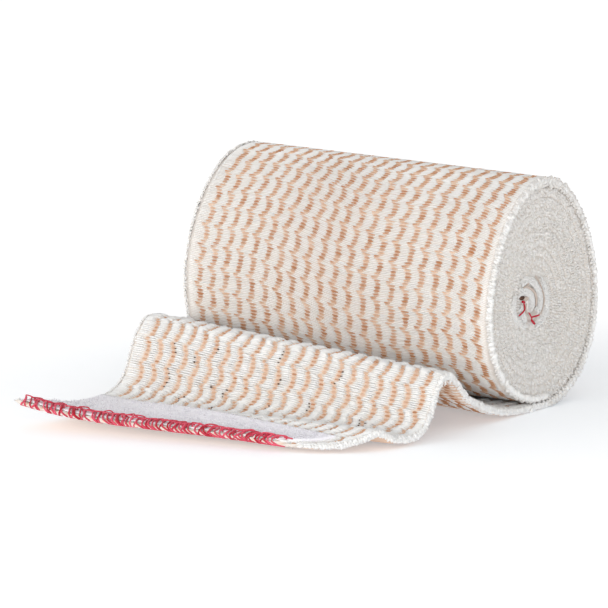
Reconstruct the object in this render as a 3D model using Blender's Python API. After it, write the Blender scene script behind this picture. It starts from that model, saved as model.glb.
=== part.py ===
"""Elastic bandage: a knitted band wound into a soft roll, its free end lying in
front of the roll over a hump, with a hook closure patch sewn on near the hem.

Frame: the band's width runs along X, the free end points towards -Y and +Z is up.
The origin is on the floor under the middle of the roll. The band is built as the
roll and its free end, which meet under the roll at a named seam.
"""

import math

import bmesh
import bpy

# Driving dimensions, in metres
BAND_WIDTH = 0.0762
BAND_THICKNESS = 0.0017
TURN_GAP = 0.0002

# The free end starts this far behind the roll's middle, with this gap at the seam
SEAM_BEHIND = 0.0020
SEAM_GAP = 0.0003

# The roll is wound a little looser at its left end, so it is higher there
ROLL_HEIGHT_LEFT = 0.0534
ROLL_HEIGHT_RIGHT = 0.0492
CORE_RADIUS = 0.0020
CORE_FORWARD = 0.0050
CORE_DROP = 0.0020

# The free end, measured in front of the roll, its hump and its rounded corner
TAIL_LENGTH = 0.0560
HUMP_RISE_LEFT = 0.0170
HUMP_RISE_RIGHT = 0.0113
CORNER_TRIM = 0.0160

# The hook patch, sewn on the upper side near the hem and cut slantwise at its back
PATCH_THICKNESS = 0.0008
PATCH_CLEARANCE = 0.0003
PATCH_LENGTH_LEFT = 0.0270
PATCH_LENGTH_RIGHT = 0.0060
PATCH_MARGIN_LEFT = 0.0010
PATCH_MARGIN_RIGHT = 0.0040
PATCH_MARGIN_HEM = 0.0022

# The roll sags under its own weight: how deep it is for its height, and how much
# wider its lower half is than its upper half
ROLL_OVAL = 0.945
ROLL_SAG = 0.122

# How finely the curves are cut into facets
STEPS_PER_TURN = 40
STEPS_PER_ROW = 3
TAIL_COLUMNS = 8
PATCH_COLUMNS = 12
PATCH_STEPS = 8

# Where the band runs under the roll's front. Depths are shares of the roll's half
# depth at that end, rises are shares of its half height above the band on the floor.
UNDER_COLUMNS = ("depth_left", "rise_left", "depth_right", "rise_right")
UNDER_ROWS = (
    (0.200, 0.000, 0.200, 0.000),
    (0.380, 0.050, 0.450, 0.008),
    (0.555, 0.128, 0.650, 0.028),
    (0.742, 0.262, 0.810, 0.060),
    (0.895, 0.430, 0.940, 0.092),
    (0.975, 0.550, 1.050, 0.135),
)

# The free end in front of the roll. Forwards are shares of the tail's length, rises
# are shares of the hump's rise at that end, trim is a share of CORNER_TRIM, and curl
# says how fast the left edge's own rise dies out across the width.
LYING_COLUMNS = ("forward_left", "rise_left", "forward_right", "rise_right", "trim", "curl")
LYING_ROWS = (
    (0.030, 0.880, 0.102, 0.450, 0.00, 1.0),
    (0.080, 0.900, 0.153, 0.650, 0.00, 1.0),
    (0.130, 0.948, 0.195, 0.840, 0.00, 1.0),
    (0.188, 1.000, 0.241, 0.990, 0.00, 1.0),
    (0.238, 0.971, 0.288, 1.000, 0.00, 1.0),
    (0.282, 0.855, 0.334, 0.826, 0.00, 1.0),
    (0.318, 0.680, 0.364, 0.583, 0.00, 1.0),
    (0.346, 0.483, 0.395, 0.322, 0.00, 1.0),
    (0.379, 0.285, 0.434, 0.139, 0.00, 1.0),
    (0.434, 0.157, 0.493, 0.061, 0.02, 1.3),
    (0.514, 0.099, 0.555, 0.078, 0.09, 1.8),
    (0.621, 0.080, 0.636, 0.235, 0.17, 2.4),
    (0.729, 0.105, 0.698, 0.130, 0.30, 3.0),
    (0.830, 0.165, 0.747, 0.043, 0.47, 3.6),
    (0.920, 0.230, 0.794, 0.017, 0.70, 4.1),
    (1.000, 0.297, 0.832, 0.017, 1.00, 4.5),
)
COLOURS = {
    "band_roll": (0.86, 0.74, 0.65, 1.0),
    "band_tail": (0.88, 0.77, 0.69, 1.0),
    "hook_patch": (0.82, 0.81, 0.88, 1.0),
}


def mixed(low, high, share):
    return low + (high - low) * share


def half_height(across):
    """Half the height of the roll's outer turn where it starts, at its widest.

    Across the width, 0 is the left end and 1 the right end. The turn has come in by
    half a pitch when it reaches the top, and the roll's height is measured there.
    """
    height = mixed(ROLL_HEIGHT_LEFT, ROLL_HEIGHT_RIGHT, across)
    return height / 2 + (BAND_THICKNESS + TURN_GAP) / 4


def half_depth(across):
    return half_height(across) * ROLL_OVAL


def turn_count():
    """Full turns that fit between the roll's outside and its core."""
    pitch = BAND_THICKNESS + TURN_GAP
    return (half_height(1.0) - CORE_RADIUS) / pitch - 1


def roll_share(across, turns_in):
    """The size of the winding this many turns in, as a share of the whole roll."""
    core_share = CORE_RADIUS / half_height(across)
    return 1 - (1 - core_share) * turns_in / (turn_count() + 1)


def roll_point(across, turns_in, angle, outward=0.0):
    """A point of the winding: a sagging oval whose centre drifts to the core."""
    share = roll_share(across, turns_in)
    centre_y = -CORE_FORWARD * (1 - share)
    centre_z = half_height(across) - CORE_DROP * (1 - share)
    share += outward / half_height(across)
    width = share * half_depth(across) * (1 - ROLL_SAG * math.sin(angle))
    height = share * half_height(across)
    x = mixed(-BAND_WIDTH, BAND_WIDTH, across) / 2
    return (x, centre_y + width * math.cos(angle), centre_z + height * math.sin(angle))


def wound_section(across, step):
    """The band's outer and inner point at one step of the winding."""
    turns_in = step / STEPS_PER_TURN
    # The inner corner of its start clears the seam; the outer one lies a bit behind
    share = roll_share(across, 1)
    behind = SEAM_BEHIND + SEAM_GAP + CORE_FORWARD * (1 - share)
    sine = behind / (share * half_depth(across) * (1 + ROLL_SAG))
    angle = math.asin(sine) - math.pi / 2 + 2 * math.pi * turns_in
    outer = roll_point(across, turns_in, angle)
    inner = roll_point(across, turns_in + 1, angle, TURN_GAP)
    return outer, inner


def tail_rows(across_end):
    """The tail's rows at one end, as lists of lengths: y, z, trim and curl."""
    side = "left" if across_end == 0 else "right"
    hump_rise = HUMP_RISE_LEFT if across_end == 0 else HUMP_RISE_RIGHT
    rows = [(SEAM_BEHIND, BAND_THICKNESS, 0.0, 1.0)]
    for values in UNDER_ROWS:
        row = dict(zip(UNDER_COLUMNS, values))
        y = -row["depth_" + side] * half_depth(across_end)
        z = BAND_THICKNESS + row["rise_" + side] * half_height(across_end)
        rows.append((y, z, 0.0, 1.0))
    for values in LYING_ROWS:
        row = dict(zip(LYING_COLUMNS, values))
        y = -half_depth(across_end) - row["forward_" + side] * TAIL_LENGTH
        z = BAND_THICKNESS + row["rise_" + side] * hump_rise
        rows.append((y, z, row["trim"] * CORNER_TRIM, row["curl"]))
    return rows


def slope(before, here, after):
    """A slope that never overshoots, so that flat stretches stay flat."""
    back, ahead = here - before, after - here
    if back * ahead <= 0:
        return 0.0
    return 2 * back * ahead / (back + ahead)


def eased(values, place):
    """A smooth curve through the values, read at a place counted in rows."""
    last = len(values) - 1
    low = min(int(place), last - 1)
    share = place - low
    before = values[max(low - 1, 0)]
    after = values[min(low + 2, last)]
    start, end = values[low], values[low + 1]
    slope_start = slope(before, start, end)
    slope_end = slope(start, end, after)
    square, cube = share * share, share * share * share
    return (
        (2 * cube - 3 * square + 1) * start
        + (cube - 2 * square + share) * slope_start
        + (3 * square - 2 * cube) * end
        + (cube - square) * slope_end
    )


LEFT_ROWS = list(zip(*tail_rows(0)))
RIGHT_ROWS = list(zip(*tail_rows(1)))
TAIL_END = len(LEFT_ROWS[0]) - 1


def upper_point(across, row):
    """A point of the tail's upper side, at a place counted in rows from the seam."""
    left = [eased(values, row) for values in LEFT_ROWS]
    right = [eased(values, row) for values in RIGHT_ROWS]
    trim, curl = left[2:]
    y = mixed(left[0], right[0], across)
    z = mixed(right[1], left[1], (1 - across) ** curl)
    x = mixed(-BAND_WIDTH / 2, BAND_WIDTH / 2 - trim, across)
    return (x, y, z)


def row_before_hem(depths, length):
    """The place, in rows, where a side lies this length behind the hem."""
    wanted = depths[-1] + length
    for row in range(TAIL_END, 0, -1):
        if depths[row - 1] >= wanted:
            break
    share = (depths[row - 1] - wanted) / (depths[row - 1] - depths[row])
    return row - 1 + min(max(share, 0.0), 1.0)


def lifted_point(across, row, lift):
    """A tail point moved off the upper side, square to it in the plane of Y and Z."""
    nudge = 0.02
    first = upper_point(across, max(row - nudge, 0.0))
    last = upper_point(across, min(row + nudge, TAIL_END))
    run, rise = first[1] - last[1], last[2] - first[2]
    length = math.hypot(run, rise)
    x, y, z = upper_point(across, row)
    return (x, y + lift * rise / length, z + lift * run / length)


def floor_kept(point):
    """Keeps the underside on the floor where rounding would sink it."""
    return (point[0], point[1], max(point[2], 0.0))


def quad_faces(first, second):
    """Faces between two rows of vertices that have the same count."""
    return [
        (first[i], first[i + 1], second[i + 1], second[i]) for i in range(len(first) - 1)
    ]


def finished(name, mesh_faces):
    """An object of its own material from a bmesh that holds one closed body."""
    mesh = bpy.data.meshes.new(name)
    bmesh.ops.recalc_face_normals(mesh_faces, faces=mesh_faces.faces)
    bmesh.ops.triangulate(mesh_faces, faces=mesh_faces.faces)
    mesh_faces.to_mesh(mesh)
    mesh_faces.free()
    made = bpy.data.objects.new(name, mesh)
    bpy.context.scene.collection.objects.link(made)
    mesh.shade_smooth()
    mesh.set_sharp_from_angle(angle=math.radians(40))
    material = bpy.data.materials.new(name)
    material.use_nodes = True
    shader = material.node_tree.nodes["Principled BSDF"]
    shader.inputs["Base Color"].default_value = COLOURS[name]
    shader.inputs["Roughness"].default_value = 0.9
    mesh.materials.append(material)
    return made


def close_sides(body, lower_rows, upper_rows):
    """Closes a wall between two stacked sheets of vertices: its ends and its sides."""
    for lower, upper in ((lower_rows[0], upper_rows[0]), (lower_rows[-1], upper_rows[-1])):
        for corners in quad_faces(lower, upper):
            body.faces.new(corners)
    for side in (0, -1):
        lower = [row[side] for row in lower_rows]
        upper = [row[side] for row in upper_rows]
        for corners in quad_faces(lower, upper):
            body.faces.new(corners)


def sheet_rows(body, points_by_row):
    """Vertices and faces of one sheet, from its points row by row."""
    rows = [[body.verts.new(point) for point in points] for points in points_by_row]
    for first, second in zip(rows, rows[1:]):
        for corners in quad_faces(first, second):
            body.faces.new(corners)
    return rows


def band_roll():
    """The winding, one wall spiralling from the seam under the roll to its core."""
    body = bmesh.new()
    steps = range(round(turn_count() * STEPS_PER_TURN) + 1)
    sections = [(wound_section(0, step), wound_section(1, step)) for step in steps]
    outer = sheet_rows(body, [(left[0], right[0]) for left, right in sections])
    inner = sheet_rows(body, [(left[1], right[1]) for left, right in sections])
    close_sides(body, outer, inner)
    return finished("band_roll", body)


def band_tail():
    """The free end, from the seam under the roll over the hump to the hem."""
    body = bmesh.new()
    shares = [column / TAIL_COLUMNS for column in range(TAIL_COLUMNS + 1)]
    rows = [step / STEPS_PER_ROW for step in range(TAIL_END * STEPS_PER_ROW + 1)]
    upper = [[upper_point(share, row) for share in shares] for row in rows]
    lower = [
        [floor_kept(lifted_point(share, row, -BAND_THICKNESS)) for share in shares]
        for row in rows
    ]
    close_sides(body, sheet_rows(body, lower), sheet_rows(body, upper))
    return finished("band_tail", body)


def hook_patch():
    """The closure patch, a thin sheet that follows the tail's upper side."""
    body = bmesh.new()
    first_left = row_before_hem(LEFT_ROWS[0], PATCH_LENGTH_LEFT)
    first_right = row_before_hem(RIGHT_ROWS[0], PATCH_LENGTH_RIGHT)
    last_left = row_before_hem(LEFT_ROWS[0], PATCH_MARGIN_HEM)
    last_right = row_before_hem(RIGHT_ROWS[0], PATCH_MARGIN_HEM)
    low_share = PATCH_MARGIN_LEFT / BAND_WIDTH
    high_share = 1 - PATCH_MARGIN_RIGHT / BAND_WIDTH
    sheets = []
    for lift in (PATCH_CLEARANCE, PATCH_CLEARANCE + PATCH_THICKNESS):
        points_by_row = []
        for step in range(PATCH_STEPS + 1):
            points = []
            for column in range(PATCH_COLUMNS + 1):
                share = mixed(low_share, high_share, column / PATCH_COLUMNS)
                first = mixed(first_left, first_right, share)
                last = mixed(last_left, last_right, share)
                row = mixed(first, last, step / PATCH_STEPS)
                points.append(lifted_point(share, row, lift))
            points_by_row.append(points)
        sheets.append(sheet_rows(body, points_by_row))
    close_sides(body, sheets[0], sheets[1])
    return finished("hook_patch", body)


def main():
    for leftover in list(bpy.data.objects):
        bpy.data.objects.remove(leftover)
    band_roll()
    band_tail()
    hook_patch()


main()
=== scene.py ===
# %% [markdown]
# # An elastic bandage, half unrolled
#
# The object is one knitted band, wound into a soft roll that lies on its side. Its
# free end comes out from under the roll, rises over a hump and lies on the table,
# with a pale hook patch and a red overlocked hem at its end.
#
# The measured model comes first: it is loaded as a fixed frame, and every piece made
# here is laid on it. The knit is then built as what it is, thousands of short yarns.

# %% Load the measured model
import math

import bpy
import numpy as np
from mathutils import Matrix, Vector


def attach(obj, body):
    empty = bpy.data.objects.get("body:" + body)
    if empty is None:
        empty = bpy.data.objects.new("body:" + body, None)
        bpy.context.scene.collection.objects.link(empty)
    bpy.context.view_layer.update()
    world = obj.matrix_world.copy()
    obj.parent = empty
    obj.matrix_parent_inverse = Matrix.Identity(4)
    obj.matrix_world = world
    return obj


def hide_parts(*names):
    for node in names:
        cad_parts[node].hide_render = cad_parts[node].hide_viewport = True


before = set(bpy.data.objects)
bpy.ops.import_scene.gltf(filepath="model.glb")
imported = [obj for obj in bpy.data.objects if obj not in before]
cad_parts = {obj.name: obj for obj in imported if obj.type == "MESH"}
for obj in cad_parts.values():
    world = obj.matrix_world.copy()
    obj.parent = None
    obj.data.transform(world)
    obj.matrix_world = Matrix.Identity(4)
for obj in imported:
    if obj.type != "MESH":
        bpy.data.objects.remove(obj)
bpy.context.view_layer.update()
MM = 0.001
print("nodes of the model:", sorted(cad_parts))

# %% [markdown]
# ## The winding
#
# A bandage relaxes once it is wound, so the roll is no true cylinder. Its section is
# an oval that sags, wider below its middle than above, and it is a little higher at
# its left end. A spiral of such ovals, each a band and a small gap further in, takes one
# formula for all the turns.

# %% The winding's formula
BAND_WIDTH = 76.2 * MM
BAND_THICKNESS = 1.7 * MM
TURN_GAP = 0.2 * MM
ROLL_HEIGHT = (53.4 * MM, 49.2 * MM)
ROLL_OVAL, ROLL_SAG = 0.945, 0.122
CORE_RADIUS, CORE_FORWARD, CORE_DROP = 2.0 * MM, 5.0 * MM, 2.0 * MM
SEAM_ANGLE = 0.1
PITCH = BAND_THICKNESS + TURN_GAP


def mixed(low, high, share):
    return low + (high - low) * share


def half_height(across):
    """Half the roll's height; on its way to the top the spiral comes in by half a pitch."""
    return mixed(*ROLL_HEIGHT, across) / 2 + PITCH / 4


TURNS = (half_height(1.0) - CORE_RADIUS) / PITCH - 1


def roll_point(across, turns_in, outward=0.0):
    """Points of the winding; across is 0 at the left end and 1 at the right end."""
    size = half_height(across)
    share = 1 - (1 - CORE_RADIUS / size) * turns_in / (TURNS + 1)
    angle = 2 * np.pi * turns_in - np.pi / 2 + SEAM_ANGLE
    y = -CORE_FORWARD * (1 - share)
    z = size - CORE_DROP * (1 - share)
    share = share + outward / size
    y = y + share * size * ROLL_OVAL * (1 - ROLL_SAG * np.sin(angle)) * np.cos(angle)
    z = z + share * size * np.sin(angle)
    return np.stack([mixed(-BAND_WIDTH, BAND_WIDTH, across) / 2 + 0 * y, y, z], axis=-1)


print(f"{TURNS:.1f} turns, {PITCH / MM:.1f} mm apart")

# %% [markdown]
# ## The free end
#
# The free end is a wavy sheet, and its two edges don't run alike: the left one climbs
# against the roll, and the right one makes a lower hump and a small ripple. Two edge
# profiles, one row for each bend, are enough, because cloth this stiff is nearly
# straight across. Lengths are shares of the sizes that they follow.

# %% The free end's formula
TAIL_LENGTH = 56.0 * MM
HUMP_RISE = (17.0 * MM, 11.3 * MM)
CORNER_TRIM = 16.0 * MM
SEAM_BEHIND = 2.0 * MM
UNDER_COLUMNS = ("depth_left", "rise_left", "depth_right", "rise_right")
UNDER_ROWS = (
    (0.200, 0.000, 0.200, 0.000),
    (0.380, 0.050, 0.450, 0.008),
    (0.555, 0.128, 0.650, 0.028),
    (0.742, 0.262, 0.810, 0.060),
    (0.895, 0.430, 0.940, 0.092),
    (0.975, 0.550, 1.050, 0.135),
)
LYING_COLUMNS = ("forward_left", "rise_left", "forward_right", "rise_right", "trim", "curl")
LYING_ROWS = (
    (0.030, 0.880, 0.102, 0.450, 0.00, 1.0),
    (0.080, 0.900, 0.153, 0.650, 0.00, 1.0),
    (0.130, 0.948, 0.195, 0.840, 0.00, 1.0),
    (0.188, 1.000, 0.241, 0.990, 0.00, 1.0),
    (0.238, 0.971, 0.288, 1.000, 0.00, 1.0),
    (0.282, 0.855, 0.334, 0.826, 0.00, 1.0),
    (0.318, 0.680, 0.364, 0.583, 0.00, 1.0),
    (0.346, 0.483, 0.395, 0.322, 0.00, 1.0),
    (0.379, 0.285, 0.434, 0.139, 0.00, 1.0),
    (0.434, 0.157, 0.493, 0.061, 0.02, 1.3),
    (0.514, 0.099, 0.555, 0.078, 0.09, 1.8),
    (0.621, 0.080, 0.636, 0.235, 0.17, 2.4),
    (0.729, 0.105, 0.698, 0.130, 0.30, 3.0),
    (0.830, 0.165, 0.747, 0.043, 0.47, 3.6),
    (0.920, 0.230, 0.794, 0.017, 0.70, 4.1),
    (1.000, 0.297, 0.832, 0.017, 1.00, 4.5),
)


def edge_profile(end):
    """One edge of the free end, from the seam to the hem: y, z, trim and curl."""
    side, size = ("left", "right")[end], half_height(float(end))
    rows = [(SEAM_BEHIND, BAND_THICKNESS, 0.0, 1.0)]
    for values in UNDER_ROWS:
        row = dict(zip(UNDER_COLUMNS, values))
        y = -row["depth_" + side] * size * ROLL_OVAL
        rows.append((y, BAND_THICKNESS + row["rise_" + side] * size, 0.0, 1.0))
    for values in LYING_ROWS:
        row = dict(zip(LYING_COLUMNS, values))
        y = -size * ROLL_OVAL - row["forward_" + side] * TAIL_LENGTH
        z = BAND_THICKNESS + row["rise_" + side] * HUMP_RISE[end]
        rows.append((y, z, row["trim"] * CORNER_TRIM, row["curl"]))
    return np.array(rows).T


def eased(values, place):
    """A smooth curve through a row of values that never overshoots them."""
    last = len(values) - 1
    low = np.clip(place.astype(int), 0, last - 1)
    share = place - low
    steps = np.diff(values)
    steps = np.concatenate([steps[:1] * 0, steps, steps[-1:] * 0])
    back, ahead = steps[:-1], steps[1:]
    total = np.where(back * ahead > 0, back + ahead, 1.0)
    slopes = np.where(back * ahead > 0, 2 * back * ahead / total, 0.0)
    square, cube = share**2, share**3
    return (
        (2 * cube - 3 * square + 1) * values[low]
        + (cube - 2 * square + share) * slopes[low]
        + (3 * square - 2 * cube) * values[low + 1]
        + (cube - square) * slopes[low + 1]
    )


LEFT, RIGHT = edge_profile(0), edge_profile(1)
TAIL_END = LEFT.shape[1] - 1
HEM_ARCH = 1.45 * MM
HEM_ARCH_ROWS = 4.5
HEM_ARCH_FULLNESS = 0.8


def tail_point(across, place):
    """Points of the free end's upper side, at places counted in rows from the seam."""
    y_left, z_left, trim, curl = (eased(values, place) for values in LEFT)
    y_right, z_right = (eased(values, place) for values in RIGHT[:2])
    x = mixed(-BAND_WIDTH / 2, BAND_WIDTH / 2 - trim, across)
    z = mixed(z_right, z_left, (1 - across) ** curl)
    near = np.clip(1 - (TAIL_END - place) / HEM_ARCH_ROWS, 0, 1)
    arch = HEM_ARCH * near**2 * (3 - 2 * near)
    z = z + arch * np.sin(np.pi * across) ** HEM_ARCH_FULLNESS
    return np.stack([x, mixed(y_left, y_right, across), z], axis=-1)


print(f"the free end has {TAIL_END + 1} rows, from the seam under the roll to the hem")

# %% [markdown]
# ## Cloth to lay yarns on
#
# Each side of the band is sampled once as a fine grid of points. A yarn, a stitch or
# the patch is then placed on it as on flat cloth, by its distance along the band and
# across it, and the grid carries it into space. Close to its two edges the cloth
# rounds off, because a knitted selvedge rolls over.

# %% A side of the band as a grid
EDGE_ROUND = 1.8 * MM
EDGE_DROP = 0.55 * MM


def running_length(line):
    """How far each point of a line lies from its start, measured along it."""
    steps = np.linalg.norm(np.diff(line, axis=0), axis=1)
    return np.concatenate([[0.0], np.cumsum(steps)])


class Cloth:
    """One side of the band; along is in metres from its first row, across from its middle."""

    def __init__(self, points, outward):
        self.points = points
        along, over = np.gradient(points, axis=0), np.gradient(points, axis=1)
        normals = np.cross(along, over) * outward
        self.normals = normals / np.linalg.norm(normals, axis=-1, keepdims=True)
        self.lengths = running_length(points[:, points.shape[1] // 2])
        self.length = float(self.lengths[-1])

    def read(self, grid, along, across):
        rows, columns = grid.shape[:2]
        row = np.interp(along, self.lengths, np.arange(rows))
        column = np.clip((across / BAND_WIDTH + 0.5) * (columns - 1), 0, columns - 1)
        i = np.minimum(row.astype(int), rows - 2)
        j = np.minimum(column.astype(int), columns - 2)
        a, b = (row - i)[..., None], (column - j)[..., None]
        near = grid[i, j] * (1 - b) + grid[i, j + 1] * b
        far = grid[i + 1, j] * (1 - b) + grid[i + 1, j + 1] * b
        return near * (1 - a) + far * a

    def normal(self, along, across):
        return self.read(self.normals, along, across)

    def at(self, along, across, lift=0.0):
        along, across, lift = np.broadcast_arrays(along, across, lift)
        edge = np.clip(1 - (BAND_WIDTH / 2 - np.abs(across)) / EDGE_ROUND, 0, 1)
        lift = lift - EDGE_DROP * edge**2
        return self.read(self.points, along, across) + self.normal(along, across) * lift[..., None]


HEM_WALL = 0.62
HEM_TAPER = 12.0 * MM
YARN_DEPTH = 0.30 * MM
FLOOR_GAP = 0.02 * MM
GRID_COLUMNS, GRID_ROWS = 97, 900
grid_across = np.linspace(0, 1, GRID_COLUMNS)
grid_places = np.linspace(TAIL_END, 0, GRID_ROWS)
upper = Cloth(tail_point(grid_across, grid_places[:, None]), -1)
near_hem = np.clip(1 - upper.lengths / HEM_TAPER, 0, 1)[:, None]
wall = BAND_THICKNESS * mixed(1.0, HEM_WALL, near_hem)
under_points = upper.points - upper.normals * wall[..., None]
under_points[..., 2] = np.maximum(under_points[..., 2], FLOOR_GAP)
under = Cloth(under_points, 1)
under.lengths = upper.lengths
outer_turn = np.linspace(0, 1, GRID_ROWS)
outer = Cloth(roll_point(grid_across, outer_turn[:, None], -YARN_DEPTH), 1)
print(f"free end {upper.length / MM:.0f} mm, outer turn {outer.length / MM:.0f} mm")

# %% [markdown]
# ## One tool for every thread
#
# A knit could be painted on a smooth surface, but its threads are what the light
# catches, above all on the curve of the roll. One function makes them all: it takes a
# path and a thickness for each thread and joins any number of closed tubes into one
# mesh. A tone is stored with every thread, so that each has its own shade.


# %% Tubes and sheets as meshes
def new_piece(name, points, faces, material):
    mesh = bpy.data.meshes.new(name)
    mesh.from_pydata(points.reshape(-1, 3), [], faces)
    mesh.polygons.foreach_set("use_smooth", [True] * len(mesh.polygons))
    mesh.materials.append(material)
    mesh.update()
    piece = bpy.data.objects.new(name, mesh)
    bpy.context.scene.collection.objects.link(piece)
    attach(piece, "root")
    triangles = sum(len(face) - 2 for face in faces)
    print(f"{name}: {triangles} triangles")
    return piece


def store(piece, name, values):
    attribute = piece.data.attributes.new(name, "FLOAT", "POINT")
    attribute.data.foreach_set("value", np.asarray(values, np.float32).ravel())


def unit(vectors):
    return vectors / np.maximum(np.linalg.norm(vectors, axis=-1, keepdims=True), 1e-12)


def tubes(name, paths, radii, ups, material, sides=4, flat=1.0, tones=None):
    """Many closed tubes as one mesh: paths is (threads, rings, 3), radii and ups fit it."""
    threads, rings = paths.shape[:2]
    tangent = unit(np.gradient(paths, axis=1))
    sideways = unit(np.cross(tangent, ups[:, None, :]))
    upward = np.cross(sideways, tangent)
    turn = np.pi / 2 + np.arange(sides) * 2 * np.pi / sides
    ring = (
        np.cos(turn)[:, None] * sideways[:, :, None, :]
        + flat * np.sin(turn)[:, None] * upward[:, :, None, :]
    )
    points = paths[:, :, None, :] + radii[:, :, None, None] * ring
    points[..., 2] = np.maximum(points[..., 2], 0.0)
    corner = np.arange(sides)
    after = (corner + 1) % sides
    first = (np.arange(threads) * rings * sides)[:, None, None]
    base = first + (np.arange(rings - 1) * sides)[None, :, None]
    quads = np.stack(
        [base + corner, base + after, base + after + sides, base + corner + sides], axis=-1
    ).reshape(-1, 4)
    starts = first[:, 0] + corner[::-1]
    ends = first[:, 0] + (rings - 1) * sides + corner
    faces = quads.tolist() + starts.tolist() + ends.tolist()
    piece = new_piece(name, points, faces, material)
    if tones is not None:
        tones = tones[:, None] if tones.ndim == 1 else tones
        store(piece, "tone", np.repeat(np.broadcast_to(tones, (threads, rings)), sides))
    return piece


def wall_piece(name, top, bottom, material):
    """A closed wall between two grids of points that have the same rows and columns."""
    rows, columns = top.shape[:2]
    index = np.arange(rows * columns).reshape(rows, columns)
    low = index + rows * columns

    def strip(a, b):
        return np.stack([a[:-1], a[1:], b[1:], b[:-1]], axis=-1).reshape(-1, 4)

    faces = [
        strip(index[:, :-1], index[:, 1:]),
        np.stack([low[:-1, :-1], low[:-1, 1:], low[1:, 1:], low[1:, :-1]], -1).reshape(-1, 4),
        strip(low[:, 0], index[:, 0]),
        strip(index[:, -1], low[:, -1]),
        strip(index[0], low[0]),
        strip(low[-1], index[-1]),
    ]
    points = np.concatenate([top.reshape(-1, 3), bottom.reshape(-1, 3)])
    return new_piece(name, points, np.concatenate(faces).tolist(), material)


# %% [markdown]
# ## Writing materials as sums
#
# A shader is easier to read as arithmetic than as a drawing of boxes. The class below
# wraps a socket and turns plus, minus and times into Math nodes, and every other node
# comes from one method.


# %% Shader helpers
class Wire:
    """A value inside a material that can be used in sums."""

    def __init__(self, paint, socket):
        self.paint, self.socket = paint, socket

    def __add__(self, other):
        return self.paint.math("ADD", self, other)

    def __sub__(self, other):
        return self.paint.math("SUBTRACT", self, other)

    def __rsub__(self, other):
        return self.paint.math("SUBTRACT", other, self)

    def __mul__(self, other):
        return self.paint.math("MULTIPLY", self, other)

    __radd__, __rmul__ = __add__, __mul__


class Paint:
    """One material: a Principled BSDF, and whatever feeds it."""

    def __init__(self, name, **constants):
        self.material = bpy.data.materials.new(name)
        self.material.use_nodes = True
        self.tree = self.material.node_tree
        self.shader = self.tree.nodes["Principled BSDF"]
        for socket, value in constants.items():
            self.shader.inputs[socket.replace("_", " ")].default_value = value

    def node(self, kind, output=0, sockets=None, **settings):
        made = self.tree.nodes.new("ShaderNode" + kind)
        for name, value in settings.items():
            setattr(made, name, value)
        for name, value in (sockets or {}).items():
            self.join(value, made.inputs[name])
        return Wire(self, made.outputs[output])

    def join(self, value, socket):
        if isinstance(value, Wire):
            self.tree.links.new(value.socket, socket)
        else:
            socket.default_value = value

    def feed(self, socket, value):
        self.join(value, self.shader.inputs[socket])

    def math(self, operation, first, second=0.0):
        return self.node("Math", sockets={0: first, 1: second}, operation=operation)

    def mix(self, share, low, high):
        # A Mix node for colours clamps its share, in socket 0, and has its colours in 6 and 7.
        return self.node("Mix", 2, {0: share, 6: low, 7: high}, data_type="RGBA")

    def stored(self, name):
        return self.node("Attribute", "Fac", attribute_name=name)

    def noise(self, scale, detail=2.0):
        place = self.node("TexCoord", "Object")
        return self.node("TexNoise", 0, {"Vector": place, "Scale": scale, "Detail": detail})

    def bump(self, height, depth):
        self.feed("Normal", self.node("Bump", sockets={"Height": height, "Distance": depth}))


def colour(red, green, blue):
    """A colour from its screen values, 0 to 255, as the linear numbers a shader takes."""
    values = [v / 255 for v in (red, green, blue)]
    linear = [v / 12.92 if v <= 0.04045 else ((v + 0.055) / 1.055) ** 2.4 for v in values]
    return (*linear, 1.0)


print("half grey on a screen is", round(colour(128, 128, 128)[0], 2), "in a shader")

# %% [markdown]
# ## Finishes
#
# The cotton is bleached but not blue-white: it is warm, matt and slightly fluffy, so
# it gets a high roughness, a little sheen for its fibres and a fine bump. The peach
# rubber-cored yarn is duller, and varies from terracotta to a faded flesh tone.

# %% The yarns
COTTON_LIGHT, COTTON_DARK = colour(245, 244, 242), colour(232, 229, 226)
# The roll's cotton is a warmer copy of the same yarn: painted warm light, for the light that
# bounces between the roll's peach yarns and under the free end.
WARM_LIGHT, WARM_DARK = colour(250, 248, 245), colour(240, 235, 230)
PEACH_DEEP, PEACH_PALE = colour(186, 128, 86), colour(238, 211, 188)
FIBRE_SCALE = 2600.0
CLOUD_SCALE = 160.0
CLOUD_SHARE, FIBRE_SHARE = 0.4, 0.3


def yarn_material(name, deep, pale, sheen, depth=0.04 * MM):
    paint = Paint(
        name, Sheen_Weight=sheen, Sheen_Roughness=0.6, Specular_IOR_Level=0.15,
        Subsurface_Weight=0.25, Subsurface_Radius=(1.0, 0.9, 0.8), Subsurface_Scale=0.35 * MM,
    )
    tone = paint.stored("tone") + (paint.noise(CLOUD_SCALE) - 0.5) * CLOUD_SHARE
    tone = tone + (paint.noise(FIBRE_SCALE) - 0.5) * FIBRE_SHARE
    paint.feed("Base Color", paint.mix(tone, deep, pale))
    paint.feed("Roughness", 0.85 + paint.noise(FIBRE_SCALE) * 0.12)
    paint.bump(paint.noise(FIBRE_SCALE), depth)
    return paint.material


cotton = yarn_material("white_cotton", COTTON_DARK, COTTON_LIGHT, 0.2)
cotton_with_painted_warm_light = yarn_material("cotton_with_painted_warm_light", WARM_DARK, WARM_LIGHT, 0.15)
peach = yarn_material("peach_elastic", PEACH_DEEP, PEACH_PALE, 0.1)
print("yarn materials:", cotton.name, cotton_with_painted_warm_light.name, peach.name)

# %% [markdown]
# ## How the stripes run
#
# The peach yarn runs lengthwise in 21 stripes. It is caught by the knitting row after
# row, so each stripe is a ladder of short dashes. Every sixth row it is thrown a step
# to the left and comes back, which draws the scallops seen on the roll. Two short
# tables, a row for each row of the knit, hold that rhythm for the tight roll and for
# the looser, stretched free end.

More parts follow.
